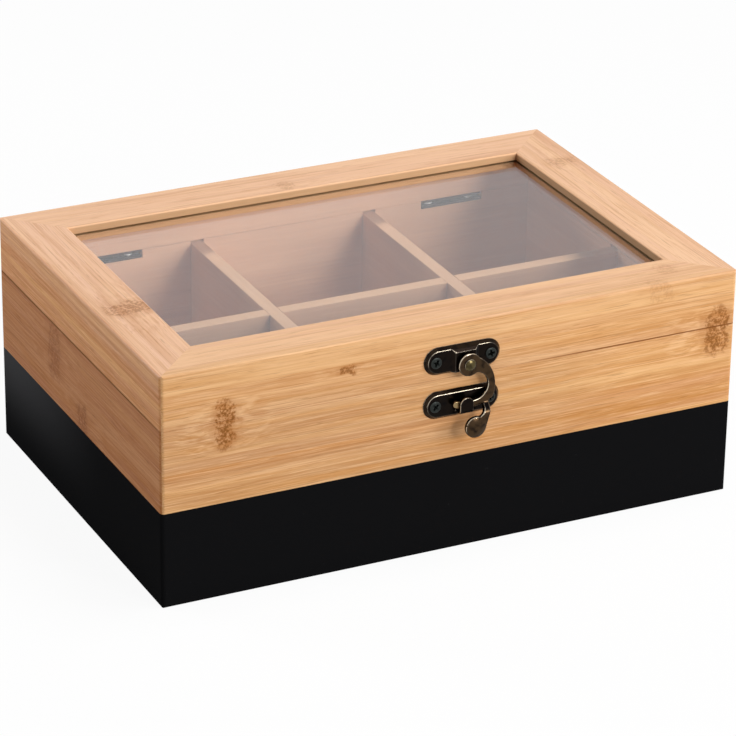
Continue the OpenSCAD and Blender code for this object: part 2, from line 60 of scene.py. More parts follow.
# Faces of the boards and the glass that the materials keep to, in millimetres
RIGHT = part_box("base_front_wall")[1].x / MM
LEFT = -RIGHT
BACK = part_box("base_back_wall")[1].y / MM
FRONT = -BACK
WALL = (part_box("base_left_wall")[1].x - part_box("base_left_wall")[0].x) / MM
SEAM_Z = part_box("base_front_wall")[1].z / MM
GLASS_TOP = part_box("glass_pane")[1].z / MM
RAIL_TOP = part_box("lid_left_rail")[1].z / MM
WINDOW_X = -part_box("lid_left_rail")[1].x / MM
WINDOW_Y = -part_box("lid_front_rail")[1].y / MM

# How much deeper than wide a glued strip is, how far each seed shifts the strips in millimetres,
# and how far along its cane a strip may have been cut
STRIP_DEPTH = 1.37
STRIP_SHIFT = 17.3
CANE_LENGTH = 800

# How far a node mark bends the fibres and stains the wood along the grain, as multiples of its reach
BEND_REACH = 5
STAIN_REACH = 1.7

# How far under the walls the paint goes, in millimetres
PAINT_WRAP = 2.0

# How far below the outermost point of its heads a group of screws is seated
SEAT_DEPTH = 0.5 * MM

# Half the width of the table, and how far its face lies below the box so that the two don't flicker
TABLE_HALF = 4.0
TABLE_DROP = 0.05 * MM

# What the lamps point at
LAMP_AIM = Vector((0, 0, 0.05))


def colour_property(name, description, default):
    return FloatVectorProperty(
        name=name, description=description, subtype="COLOR", size=3, min=0, max=1, default=default
    )


def share_property(name, description, default):
    return FloatProperty(name=name, description=description, subtype="FACTOR", min=0, max=1, default=default)


def length_property(name, description, default, low, high):
    return FloatProperty(
        name=name, description=description, unit="LENGTH", min=low, max=high, default=default
    )


def angle_property(name, description, degrees):
    return FloatProperty(name=name, description=description, subtype="ANGLE", default=math.radians(degrees))


def power_property(name, description, watts):
    return FloatProperty(name=name, description=description, unit="POWER", min=0, default=watts)


class TEABOX_PG_bamboo(bpy.types.PropertyGroup):
    """Colours and sizes of the strip bamboo."""

    straw: colour_property("Straw", "Palest strips", (0.72, 0.41, 0.175))
    honey: colour_property("Honey", "Most of the strips", (0.61, 0.3, 0.102))
    amber: colour_property("Amber", "Darkest strips and streaks", (0.43, 0.165, 0.038))
    rose: colour_property("Rose", "Pinkish strips", (0.6, 0.3, 0.145))
    cream: colour_property("Cream", "Bright fibres and the pale rails", (0.85, 0.54, 0.3))
    bare: colour_property("Bare", "Sanded faces of the dividers", (0.8, 0.49, 0.32))
    dun: colour_property("Dun", "The duller strips at the left of the front", (0.5, 0.28, 0.135))
    panel: colour_property("Panel", "The bottom board", (0.42, 0.255, 0.14))
    # Partly sanded wood, partly painted light that makes the inside of the walls brighter
    lining_and_light: colour_property("Lining", "Sanded inner faces of the walls", (0.97, 0.59, 0.4))
    # Also the painted shade line where the glass goes into the rails
    halo_and_groove_shade: colour_property("Halo", "Browned wood of the node marks", (0.37, 0.135, 0.034))
    # Painted sheen on the top faces of the rails
    sheen_colour: colour_property("Bleach", "Paled wood of the rails", (0.98, 0.66, 0.5))
    # Painted light on the inner faces of the rails, which are partly paler fresh cut wood
    inner_face_light: colour_property("Gold", "Fresh cut edge round the glass", (0.96, 0.58, 0.33))
    # Also the painted shade in the joint of base and lid on the sides
    mark: colour_property("Node mark", "Scars where a leaf ring of the cane was cut", (0.2, 0.072, 0.014))
    seam: colour_property("Seam", "Shade in the joint at the front and the back", (0.24, 0.085, 0.02))
    strip_width: length_property("Strip width", "Width of the glued strips", 6.3 * MM, 0.002, 0.02)
    gloss: share_property("Gloss", "Shine of the clear lacquer", 0.15)


class TEABOX_PG_paint(bpy.types.PropertyGroup):
    """The black paint on the lower part of the outside."""

    colour: colour_property("Paint", "Black paint", (0.0058, 0.0058, 0.0063))
    # Painted sheen: a greyer paint colour high at the rear of the left side stands in for light there
    painted_sheen: colour_property("Bloom", "Greyed paint high at the rear of the left side", (0.05, 0.05, 0.053))
    dust: colour_property("Dust", "Specks of dust in the paint", (0.03, 0.03, 0.032))
    height: length_property("Paint height", "Height of the masked edge of the paint", 35 * MM, 0, 0.06)


class TEABOX_PG_glass(bpy.types.PropertyGroup):
    """The pane of the lid."""

    colour: colour_property("Glass", "Tint of what is seen through the pane", (0.97, 0.98, 0.98))
    mirror: colour_property("Mirror", "Tint of what the pane mirrors", (0.76, 0.71, 0.75))
    passed: share_property("Bounced light", "Share of the bounced light that passes the pane", 0.17)


class TEABOX_PG_metal(bpy.types.PropertyGroup):
    """Colours of the latch, the screws and the hinges."""

    bronze: colour_property("Bronze", "Blackened field of the plates", (0.006, 0.005, 0.005))
    # On the slopes and sides partly rubbed patina, partly painted reflection and shade
    brown: colour_property("Brown", "Rubbed slopes and the hook", (0.056, 0.034, 0.018))
    olive: colour_property("Olive", "Head of the rivet", (0.095, 0.074, 0.032))
    # Partly worn brass, partly painted highlight on the edges
    brass_and_highlight: colour_property("Brass", "Bright worn edges", (0.56, 0.48, 0.37))
    tip: colour_property("Tip", "The rubbed end of the hook", (0.3, 0.21, 0.1))
    screw: colour_property("Screw", "Blackened screws", (0.02, 0.023, 0.021))
    # Painted shade and reflection: the zinc leaves are given a dark colour, as they look in the shade of the
    # lid
    leaf: colour_property("Leaf", "Dulled hinge leaves", (0.12, 0.08, 0.06))
    tarnish: colour_property("Tarnish", "Dark clouds on the hinge leaves", (0.034, 0.025, 0.021))
    zinc: colour_property("Zinc", "Bright screws of the hinges", (0.5, 0.5, 0.5))
    grain: length_property(
        "Mesh size", "Size of the facets that round the stamped metal's edges", 0.14 * MM, 0.0001, 0.0005
    )


class TEABOX_PG_stage(bpy.types.PropertyGroup):
    """Camera and light."""

    azimuth: angle_property("Azimuth", "Camera's turn about the box", -25.998)
    elevation: angle_property("Elevation", "Camera's height above the horizon", 24.805)
    roll: angle_property("Roll", "Camera's turn about its own axis", 0.824)
    distance: length_property("Distance", "From the camera to what it looks at", 1.32731, 0.2, 10)
    target: FloatVectorProperty(
        name="Target", description="Point that the camera looks at", subtype="TRANSLATION", size=3,
        default=(-0.003388, -0.012121, 0.0425),
    )
    lens: FloatProperty(
        name="Lens", description="Focal length in millimetres", min=20, max=400, unit="CAMERA",
        default=183.898,
    )
    ambient: share_property("Ambient", "Strength of the light from all round", 0.15)
    key: power_property("Key", "Power of the front softbox", 12.8)
    side: power_property("Side", "Power of the softbox at the right", 5.6)
    fill: power_property("Fill", "Power of the softbox at the left rear", 1.9)
    top: power_property("Top", "Power of the softbox overhead", 13.0)


class Graph:
    """The node tree of a material or a world, written as short formulas."""

    def __init__(self, owner):
        owner.use_nodes = True
        self.owner = owner
        self.tree = owner.node_tree
        self.tree.nodes.clear()

    def node(self, kind, **settings):
        made = self.tree.nodes.new(kind)
        for key, value in settings.items():
            setattr(made, key, value)
        return made

    def feed(self, socket, value):
        if isinstance(value, bpy.types.NodeSocket):
            self.tree.links.new(value, socket)
        elif socket.type == "RGBA" and len(value) == 3:
            socket.default_value = (*value, 1)
        else:
            socket.default_value = value

    def math(self, operation, *values):
        made = self.node("ShaderNodeMath", operation=operation)
        for socket, value in zip(made.inputs, values):
            self.feed(socket, value)
        return made.outputs[0]

    def add(self, a, b):
        return self.math("ADD", a, b)

    def times(self, a, b):
        return self.math("MULTIPLY", a, b)

    def minus(self, a, b):
        return self.math("SUBTRACT", a, b)

    def magnitude(self, a):
        return self.math("ABSOLUTE", a)

    def larger(self, a, b):
        return self.math("MAXIMUM", a, b)

    def smooth(self, value, low, high):
        """0 below low, 1 above high and smooth between, or the other way round if low is the larger."""
        made = self.node("ShaderNodeMapRange", interpolation_type="SMOOTHSTEP")
        for socket, number in zip(made.inputs, (value, low, high, 0.0, 1.0)):
            self.feed(socket, number)
        return made.outputs[0]

    def vector(self, x, y, z):
        made = self.node("ShaderNodeCombineXYZ")
        for socket, value in zip(made.inputs, (x, y, z)):
            self.feed(socket, value)
        return made.outputs[0]

    def noise(self, vector, scale=1.0, detail=2.0, roughness=0.5, distortion=0.0):
        made = self.node("ShaderNodeTexNoise")
        self.feed(made.inputs["Vector"], vector)
        self.feed(made.inputs["Scale"], scale)
        self.feed(made.inputs["Detail"], detail)
        self.feed(made.inputs["Roughness"], roughness)
        self.feed(made.inputs["Distortion"], distortion)
        return made.outputs["Fac"]

    def chance(self, vector):
        made = self.node("ShaderNodeTexWhiteNoise", noise_dimensions="3D")
        self.feed(made.inputs["Vector"], vector)
        return made.outputs["Value"]

    def mix(self, factor, a, b, blend="MIX"):
        made = self.node("ShaderNodeMix", data_type="RGBA", blend_type=blend)
        self.feed(made.inputs[0], factor)
        self.feed(made.inputs[6], a)
        self.feed(made.inputs[7], b)
        return made.outputs[2]

    def glaze(self, colour, tone, mask, strength):
        """The colour with a tone laid over it where the mask shows, as strongly as is given."""
        return self.mix(self.times(mask, strength), colour, tone)

    def blend(self, factor, a, b):
        made = self.node("ShaderNodeMix", data_type="FLOAT")
        self.feed(made.inputs[0], factor)
        self.feed(made.inputs[2], a)
        self.feed(made.inputs[3], b)
        return made.outputs[0]

    def place(self):
        """The point on the piece in millimetres, as x, y and z."""
        source = self.node("ShaderNodeTexCoord")
        scaled = self.node("ShaderNodeVectorMath", operation="SCALE")
        self.feed(scaled.inputs[0], source.outputs["Object"])
        self.feed(scaled.inputs["Scale"], 1 / MM)
        split = self.node("ShaderNodeSeparateXYZ")
        self.feed(split.inputs[0], scaled.outputs[0])
        return split.outputs[0], split.outputs[1], split.outputs[2]

    def principled(self, **sockets):
        made = self.node("ShaderNodeBsdfPrincipled")
        for name, value in sockets.items():
            self.feed(made.inputs[name.replace("_", " ")], value)
        return made.outputs[0]

    def bump(self, height, distance, strength=1.0):
        made = self.node("ShaderNodeBump")
        self.feed(made.inputs["Height"], height)
        self.feed(made.inputs["Distance"], distance)
        self.feed(made.inputs["Strength"], strength)
        return made.outputs[0]

    def mix_shader(self, factor, a, b):
        made = self.node("ShaderNodeMixShader")
        self.feed(made.inputs[0], factor)
        self.feed(made.inputs[1], a)
        self.feed(made.inputs[2], b)
        return made.outputs[0]

    def looked_at(self):
        """1 for a ray from the camera, from gloss or through glass, and 0 for one that only lights."""
        path = self.node("ShaderNodeLightPath")
        direct = self.larger(path.outputs["Is Camera Ray"], path.outputs["Is Glossy Ray"])
        return self.larger(direct, path.outputs["Is Transmission Ray"])

    def output(self, shader):
        in_world = isinstance(self.owner, bpy.types.World)
        made = self.node("ShaderNodeOutputWorld" if in_world else "ShaderNodeOutputMaterial")
        self.feed(made.inputs["Surface"], shader)
        return self.owner


# Node marks of the cane, in millimetres: the middle (x, y, z), then how far the mark reaches
# along x, y and z, then how dark it is
FRONT_MARKS = [
    ((-85.2, FRONT, 63.5), (3.0, 4, 8.4), 1.0),
    ((-41, FRONT, 75), (2.4, 4, 1.6), 0.8),
    ((101.4, FRONT, 63.3), (3.9, 4, 8.4), 0.9),
]
LEFT_MARKS = [
    ((LEFT, 21, 54.5), (4, 5, 10), 0.4),
    ((LEFT, -4.5, 39.5), (4, 4, 5), 0.5),
]
BACK_MARKS = [
    ((52, BACK, 56), (3, 4, 14), 0.8),
    ((-71, BACK, 50), (2.6, 4, 8), 0.7),
]
RIGHT_MARKS = [
    ((RIGHT, -31, 58), (4, 2.8, 12), 0.8),
    ((RIGHT, 44, 71), (4, 2.2, 6), 0.6),
]
FRONT_RAIL_MARKS = [
    ((78, FRONT, 82), (4, 5, 4), 0.16),
    ((86, -63, RAIL_TOP), (3, 4, 4), 0.16),
]
BACK_RAIL_MARKS = [
    ((-3, 60, RAIL_TOP), (3, 4, 4), 0.22),
]
LEFT_RAIL_MARKS = [
    ((-96.5, -18.5, RAIL_TOP), (8, 4.2, 4), 0.55),
]
RIGHT_RAIL_MARKS = [
    ((101, 40.5, RAIL_TOP), (5.5, 3.2, 4), 0.28),
]

# Long soft patches of another tone: the middle, the reach, the colour and how strong it is
FRONT_TINTS = [
    ((-35, FRONT, 74.8), (42, 4, 2.0), "amber", 0.5),
    ((60, FRONT, 76), (60, 4, 2.4), "amber", 0.3),
    ((-52, FRONT, 50), (64, 4, 3.2), "rose", 0.75),
    ((-55, FRONT, 43.4), (64, 4, 2.2), "cream", 0.35),
    ((20, FRONT, 37.4), (110, 4, 3.0), "amber", 0.3),
    ((45, FRONT, 57), (70, 4, 4.5), "straw", 0.5),
    ((-50, FRONT, 51), (95, 4, 19), "dun", 0.6),
    ((10, FRONT, 72), (120, 4, 9), "cream", 0.28),
]
LEFT_TINTS = [
    ((LEFT, 0, 71), (4, 90, 12), "rose", 0.75),
]
FRONT_RAIL_TINTS = [
    ((0, FRONT, 81.5), (125, 4, 4.5), "straw", 0.75),
    ((0, FRONT, 81.5), (125, 4, 4.5), "cream", 0.28),
]

# The tip of the hook's finger is rubbed bright by the keeper
FINGER_TIP = ((-1.9, -77, 56.1), (1.7, 3, 1.7), 0.9)

# The boards on the left are darker, first those of the lid, then the base's on top of that
LEFT_DARKENING = ((1.0, 0.91, 0.86), (0.68, 0.59, 0.55))


def mark_mask(g, place, mark):
    """How strongly a mark shows at a point: it fills a rounded box and fades at the rim."""
    middle, reach, strength = mark
    near = None
    for value, centre, half in zip(place, middle, reach, strict=True):
        distance = g.math("DIVIDE", g.minus(value, centre), half)
        share = g.math("POWER", g.magnitude(distance), 4.0)
        near = share if near is None else g.add(near, share)
    return g.times(g.smooth(near, 2.4, 0.1), strength)


class Board:
    """The wood of one board, with its fibres along X or Y. Its places are in millimetres."""

    def __init__(self, name, along, seed, marks):
        self.g = Graph(bpy.data.materials.new(name))
        self.along = along
        self.marks = marks
        self.place = self.g.place()
        x, y, z = self.place
        self.u, self.v, self.w = (x, z, y) if along == "X" else (y, z, x)
        self.tone, self.hue = self.strips(seed)
        self.cane = self.g.add(self.g.times(self.tone, CANE_LENGTH), self.u)
        self.near = self.mark_zone()
        sway = self.sway()
        self.v, self.w = self.g.add(self.v, sway), self.g.add(self.w, sway)

    def strips(self, seed):
        """Two chances for each glued strip, which is a cell of the cross section."""
        g = self.g
        width = bpy.context.scene.tea_box_bamboo.strip_width / MM
        row = g.math("FLOOR", g.math("DIVIDE", g.add(self.v, STRIP_SHIFT * seed), width))
        layer = g.math("FLOOR", g.math("DIVIDE", g.add(self.w, STRIP_SHIFT * seed), width * STRIP_DEPTH))
        return g.chance(g.vector(row, layer, seed)), g.chance(g.vector(layer, seed, row))

    def longer(self, mark, times):
        """A node mark that reaches further along the grain."""
        middle, reach, strength = mark
        reach = list(reach)
        reach[0 if self.along == "X" else 1] *= times
        return middle, reach, strength

    def mark_zone(self):
        """Where the node marks bend the fibres, or None on a board without marks."""
        zone = None
        for mark in self.marks:
            mask = mark_mask(self.g, self.place, self.longer(mark, BEND_REACH))
            zone = mask if zone is None else self.g.larger(zone, mask)
        return zone

    def stretched(self, start, along, across):
        """Where to read noise that is drawn out along the grain; along and across are per millimetre."""
        g = self.g
        return g.vector(g.times(start, along), g.times(self.v, across), g.times(self.w, across))

    def sway(self):
        """How far the fibres wander and bend round the node marks."""
        g = self.g
        wander = g.noise(self.stretched(self.u, 0.012, 0.05), 1.0, 2.0)
        sway = g.times(g.minus(wander, 0.5), 2.6)
        if self.near is None:
            return sway
        eddy = g.noise(self.stretched(self.u, 0.07, 0.1), 1.0, 2.0)
        return g.add(sway, g.times(g.times(self.near, g.minus(eddy, 0.5)), 2.4))

    def fibres(self, length, thickness, detail, roughness=0.5, shift=0):
        """Noise drawn out along the grain; length, thickness and shift are in millimetres."""
        start = self.g.add(self.cane, shift) if shift else self.cane
        return self.g.noise(self.stretched(start, 1 / length, 1 / thickness), 1.0, detail, roughness)


def bamboo(
    name, along, seed, marks=(), tints=(), top_sheen=0.0, bare=None, left_darkening=None, wall=False, seam=None, figure=1.0
):
    """Lacquered strip bamboo with its grain along X or Y; a wall is painted and its inside is bare.

    Top sheen is a painted sheen that lightens the top of a rail, bare is the colour of sanded wood, left
    darkening makes the boards on the left darker, seam shade is where a wall's painted shade in the joint
    fades in, and figure is how much the strips and streaks differ.
    """
    wood = bpy.context.scene.tea_box_bamboo
    board = Board(name, along, seed, marks)
    g, place = board.g, board.place
    streak = board.fibres(70, 0.85, 4.0, 0.64)
    fibre = board.fibres(15, 0.4, 3.0, 0.65)
    colour = strip_tones(board, tints, top_sheen)
    colour = streaked(board, colour, streak, fibre, figure, wood.honey if top_sheen else wood.amber)
    if bare is not None:
        colour = g.mix(0.65, colour, bare)
    colour, pits = scarred(board, colour)
    if left_darkening is not None:
        colour = darkened_left(g, place, colour, left_darkening)
    if top_sheen:
        colour = lit_rebate(g, place, colour, along)
    if seam is not None:
        colour = painted_seam(g, place, colour, along, seam)
    relief = g.minus(g.add(g.times(fibre, 0.5), g.times(streak, 0.5)), g.times(pits, 0.15))
    finish = {
        "Roughness": g.blend(fibre, 0.36, 0.52),
        "Specular_IOR_Level": wood.gloss * (1.0 if top_sheen else 0.2),
        "Normal": g.bump(relief, 0.06 * MM, 0.7),
    }
    surface = g.principled(Base_Color=colour, **finish)
    if wall:
        # The inner faces are paler, partly sanded wood and partly painted light for the dim inside
        inside = g.principled(Base_Color=g.mix(0.62, colour, wood.lining_and_light), **finish)
        surface = g.mix_shader(inside_mask(g, place), surface, inside)
        surface = g.mix_shader(paint_mask(g, place), surface, paint(g, place, fibre))
    return g.output(surface)


def strip_tones(board, tints, top_sheen):
    """The tones of the glued strips, before their fibres are drawn."""
    wood = bpy.context.scene.tea_box_bamboo
    g = board.g
    blush = board.fibres(180, 4.5, 2.0, shift=500)
    colour = g.mix(g.smooth(board.tone, 0.1, 0.95), wood.honey, wood.straw)
    colour = g.glaze(colour, wood.rose, g.smooth(board.hue, 0.4, 0.9), 0.3)
    colour = g.glaze(colour, wood.rose, g.smooth(blush, 0.5, 0.66), 0.6)
    # Painted sheen: the top face of a rail is made paler
    if top_sheen:
        upper = g.smooth(board.place[2], RAIL_TOP - 0.9, RAIL_TOP - 0.2)
        colour = g.glaze(colour, wood.sheen_colour, upper, top_sheen)
    for middle, reach, key, strength in tints:
        patch = mark_mask(g, board.place, (middle, reach, strength))
        colour = g.glaze(colour, getattr(wood, key), patch, g.smooth(blush, 0.3, 0.6))
    return colour


def streaked(board, colour, streak, fibre, figure, dark):
    """Bands, streaks, fine lines, fibres and open vessels over a colour."""
    wood = bpy.context.scene.tea_box_bamboo
    g = board.g
    band = board.fibres(240, 6.0, 2.0)
    line = board.fibres(55, 0.36, 1.0, shift=250)
    vessel = board.fibres(9, 0.42, 1.0, shift=90)
    for noise, none, full, strength, tone in (
        (band, 0.5, 0.66, 0.29 * figure, wood.amber),
        (streak, 0.5, 0.68, 0.34 * figure, wood.amber),
        (streak, 0.5, 0.33, 0.34 * figure, wood.cream),
        (line, 0.6, 0.72, 0.28 * figure, wood.mark),
        (fibre, 0.52, 0.72, 0.38 * figure, dark),
        (fibre, 0.49, 0.3, 0.4, wood.cream),
        (vessel, 0.64, 0.76, 0.32 * figure, wood.mark),
    ):
        colour = g.glaze(colour, tone, g.smooth(noise, none, full), strength)
    return colour


def scarred(board, colour):
    """Node marks: soft waves in the fibres about a brown halo that is full of dark crumbs.

    The second value is where the crumbs are pitted.
    """
    pits = 0.0
    if not board.marks:
        return colour, pits
    wood = bpy.context.scene.tea_box_bamboo
    g = board.g
    x, y, z = board.place
    point = g.vector(x, y, z)
    clusters = g.times(g.minus(g.noise(point, 0.45, 1.0), 0.5), 0.4)
    crumbs = g.add(g.noise(point, 1.05, 3.0, 0.65), clusters)
    curl = g.noise(board.stretched(board.u, 0.12, 0.5), 1.0, 2.0, 0.5, 0.7)
    colour = g.glaze(colour, wood.cream, g.smooth(curl, 0.52, 0.38), g.times(board.near, 0.3))
    colour = g.glaze(colour, wood.amber, g.smooth(curl, 0.5, 0.66), g.times(board.near, 0.35))

    # The marks' rims are frayed, but not through the board
    fray = g.times(g.minus(g.noise(point, 0.28, 3.0, 0.6), 0.5), 9.0)
    frayed = [g.add(x, fray), g.add(y, fray), g.add(z, g.times(fray, -0.6))]
    through = 1 if board.along == "X" else 0
    frayed[through] = board.place[through]
    for mark in board.marks:
        mask = mark_mask(g, frayed, mark)
        stain = mark_mask(g, frayed, board.longer(mark, STAIN_REACH))
        speck = g.times(mask, g.smooth(crumbs, 0.47, 0.58))
        colour = g.glaze(colour, wood.halo_and_groove_shade, stain, 0.3)
        colour = g.glaze(colour, wood.halo_and_groove_shade, g.times(mask, g.smooth(crumbs, 0.3, 0.52)), 0.7)
        colour = g.glaze(colour, wood.mark, speck, 0.75)
        pits = g.larger(pits, speck)
    return colour, pits


def darkened_left(g, place, colour, left_darkening):
    """A colour that is darker on the left side, and more so below the joint of base and lid."""
    x, _, z = place
    of_lid, of_base = left_darkening
    outer = g.smooth(x, LEFT + 0.5, LEFT + 0.2)
    below = g.smooth(z, SEAM_Z + 0.3, SEAM_Z - 0.3)
    colour = g.mix(outer, colour, of_lid, "MULTIPLY")
    return g.mix(g.times(outer, below), colour, of_base, "MULTIPLY")


def lit_rebate(g, place, colour, along):
    """A rail's colour with its inner face paler, partly fresh cut wood and partly painted light, and a painted
    shade line where the glass goes into it.
    """
    wood = bpy.context.scene.tea_box_bamboo
    x, y, z = place
    across, face = (y, WINDOW_Y) if along == "X" else (x, WINDOW_X)
    inner = g.smooth(g.magnitude(across), face + 0.6, face + 0.2)
    # Painted shade where the glass goes into the rail
    line = g.smooth(g.magnitude(g.minus(z, GLASS_TOP)), 0.5, 0.1)
    colour = g.glaze(colour, wood.inner_face_light, inner, 0.7)
    return g.glaze(colour, wood.halo_and_groove_shade, g.times(inner, line), 0.35)


def painted_seam(g, place, colour, along, ends):
    """A wall's colour with painted shade in the joint of base and lid, which fades in between two places."""
    wood = bpy.context.scene.tea_box_bamboo
    x, y, z = place
    # Painted shade in the joint; the sides are seen at a slant, so their line is wider and darker
    where, half, shade = (x, 0.4, wood.seam) if along == "X" else (y, 0.65, wood.mark)
    line = g.smooth(g.magnitude(g.minus(z, SEAM_Z)), half, 0.12)
    return g.glaze(colour, shade, g.times(line, g.smooth(where, *ends)), 0.85)


def beyond(g, place, depth):
    """Above 0 within the given depth of the walls' outside, and below 0 further in."""
    x, y, _ = place
    beside = g.minus(g.magnitude(x), RIGHT - depth)
    before = g.minus(g.magnitude(y), BACK - depth)
    return g.larger(beside, before)


def inside_mask(g, place):
    """1 on the inner faces of the walls."""
    return g.math("LESS_THAN", beyond(g, place, 0.8 * WALL), 0.0)


def paint_mask(g, place):
    """1 on the outside and underside edge of the base, up to the masked edge."""
    x, y, z = place
    height = bpy.context.scene.tea_box_paint.height / MM
    outside = g.math("GREATER_THAN", beyond(g, place, PAINT_WRAP), 0.0)
    ragged = g.noise(g.vector(g.times(x, 1.5), g.times(y, 1.5), 0.0), 1.0, 2.0)
    edge = g.add(z, g.times(g.minus(ragged, 0.5), 0.16))
    below = g.smooth(edge, height + 0.05, height - 0.05)
    return g.times(outside, below)


def paint(g, place, fibre):
    """Sprayed matt black, with the grain just showing through, a few specks of dust, and a painted sheen high
    at the rear of the left side.
    """
    black = bpy.context.scene.tea_box_paint
    x, y, z = place
    point = g.vector(x, y, z)
    peel = g.noise(point, 2.2, 3.0, 0.6)
    specks = g.smooth(g.noise(point, 1.1, 1.0, 0.4), 0.79, 0.83)
    # Painted sheen, greyer high at the rear of the left side
    aside = g.smooth(x, LEFT + 1.5, LEFT + 0.5)
    sheen_mask = g.times(aside, g.times(g.smooth(y, -25.0, 70.0), g.smooth(z, 3.0, 36.0)))
    colour = g.mix(sheen_mask, black.colour, black.painted_sheen)
    colour = g.glaze(colour, black.dust, specks, 0.4)
    relief = g.add(g.times(fibre, 0.35), g.times(peel, 0.4))
    return g.principled(
        Base_Color=colour,
        Roughness=g.blend(peel, 0.48, 0.6),
        Specular_IOR_Level=0.001,
        Normal=g.bump(relief, 0.05 * MM, 0.6),
    )


def clear_glass():
    """Float glass that bends and mirrors, and lets the lamps and a little of the bounced light through."""
    glass = bpy.context.scene.tea_box_glass
    g = Graph(bpy.data.materials.new("float_glass"))
    pane = g.principled(
        Base_Color=glass.colour, Roughness=0.0, IOR=1.5, Transmission_Weight=1.0, Specular_Tint=glass.mirror
    )
    open_air = g.node("ShaderNodeBsdfTransparent")
    path = g.node("ShaderNodeLightPath")
    bounced = path.outputs["Is Diffuse Ray"]
    g.feed(open_air.inputs["Color"], g.mix(bounced, (1, 1, 1), (glass.passed,) * 3))
    through = g.larger(path.outputs["Is Shadow Ray"], bounced)
    return g.output(g.mix_shader(through, pane, open_air.outputs[0]))


def plated(g, colour, grit, roughness, depth, strength, metallic=1.0):
    """Metal whose gloss and relief follow a grit, from one roughness to another; depth is in millimetres."""
    return g.output(
        g.principled(
            Base_Color=colour,
            Metallic=metallic,
            Roughness=g.blend(grit, *roughness),
            Normal=g.bump(grit, depth * MM, strength),
        )
    )


def antique_bronze(name, front, side, tone, polished=None):
    """Blackened plating, browned where hands rub it and by painted reflection on faces that turn away from the
    front, and bright on its edges as wear and painted highlight.

    Front and side are how brown the flat face and the slopes are, which paints reflection and shade by the way
    a face turns; polished is a mark that is rubbed bright.
    """
    metal = bpy.context.scene.tea_box_metal
    g = Graph(bpy.data.materials.new(name))
    place = g.place()
    cloud = g.noise(g.vector(*place), 0.45, 3.0, 0.5)
    grit = g.noise(g.vector(*place), 6.0, 3.0, 0.6)
    facing = g.node("ShaderNodeSeparateXYZ")
    g.feed(facing.inputs[0], g.node("ShaderNodeTexCoord").outputs["Normal"])
    # Painted reflection and shade: a face is browner or blacker by which way it turns, on top of the rubbed
    # patina
    facing_reflection = g.smooth(g.magnitude(facing.outputs[1]), 0.9, 0.6)
    patina_and_reflection = g.times(g.smooth(cloud, 0.2, 0.55), g.blend(facing_reflection, front, side))
    colour = g.mix(patina_and_reflection, metal.bronze, tone)

    # Painted highlight: upper and left hand edges, which face the light, take more of the bright colour; the
    # edges are also worn
    ridge = g.node("ShaderNodeNewGeometry").outputs["Pointiness"]
    ridge = g.add(ridge, g.times(g.minus(grit, 0.5), 0.004))
    worn = g.times(g.smooth(ridge, 0.509, 0.522), g.smooth(ridge, 0.55, 0.535))
    toward_light = g.add(g.times(facing.outputs[0], -0.6), g.times(facing.outputs[2], 0.8))
    toward_light = g.blend(g.smooth(toward_light, 0.05, 0.45), 0.1, 1.0)
    patchy = g.blend(g.smooth(cloud, 0.34, 0.5), 0.35, 1.0)
    colour = g.glaze(colour, metal.brass_and_highlight, worn, g.times(toward_light, patchy))
    if polished is not None:
        colour = g.mix(mark_mask(g, place, polished), colour, metal.tip)
    return plated(g, colour, grit, (0.16, 0.32), 0.015, 0.4)


def zinc_plate():
    """Zinc plated steel darkened as painted shade and reflection, tarnished in clouds and brushed faintly
    along the hinge.
    """
    metal = bpy.context.scene.tea_box_metal
    g = Graph(bpy.data.materials.new("zinc_plate"))
    x, y, z = g.place()
    brush = g.noise(g.vector(g.times(x, 0.5), g.times(y, 6), g.times(z, 6)), 1.0, 3.0)
    cloud = g.noise(g.vector(x, y, z), 0.8, 3.0)
    colour = g.mix(g.smooth(cloud, 0.3, 0.75), metal.leaf, metal.tarnish)
    return plated(g, colour, brush, (0.25, 0.4), 0.01, 0.5)


def screw_steel(name, colour):
    """Plated screws, darker in the cross and rubbed on the rim."""
    g = Graph(bpy.data.materials.new(name))
    grit = g.noise(g.vector(*g.place()), 5.0, 3.0, 0.6)
    ridge = g.node("ShaderNodeNewGeometry").outputs["Pointiness"]
    bright = tuple(min(1, 2 * c) for c in colour)
    shade = g.mix(g.smooth(ridge, 0.51, 0.56), tuple(colour), bright)
    return plated(g, shade, grit, (0.3, 0.48), 0.01, 0.4, metallic=0.85)


def dress(node, material):
    """Gives a CAD node its material."""
    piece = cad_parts[node]
    if not piece.material_slots:
        piece.data.materials.append(material)
    for slot in piece.material_slots:
        slot.material = material


def linked(name, data):
    """A new object in the scene."""
    piece = bpy.data.objects.new(name, data)
    bpy.context.scene.collection.objects.link(piece)
    return piece


def new_piece(name, mesh, material):
    piece = linked(name, mesh)
    mesh.materials.clear()
    mesh.materials.append(material)
    return piece


def settled(piece, name, material):
    """The piece with its modifiers turned into a plain mesh."""
    depsgraph = bpy.context.evaluated_depsgraph_get()
    mesh = bpy.data.meshes.new_from_object(piece.evaluated_get(depsgraph))
    bpy.data.objects.remove(piece)
    return new_piece(name, mesh, material)


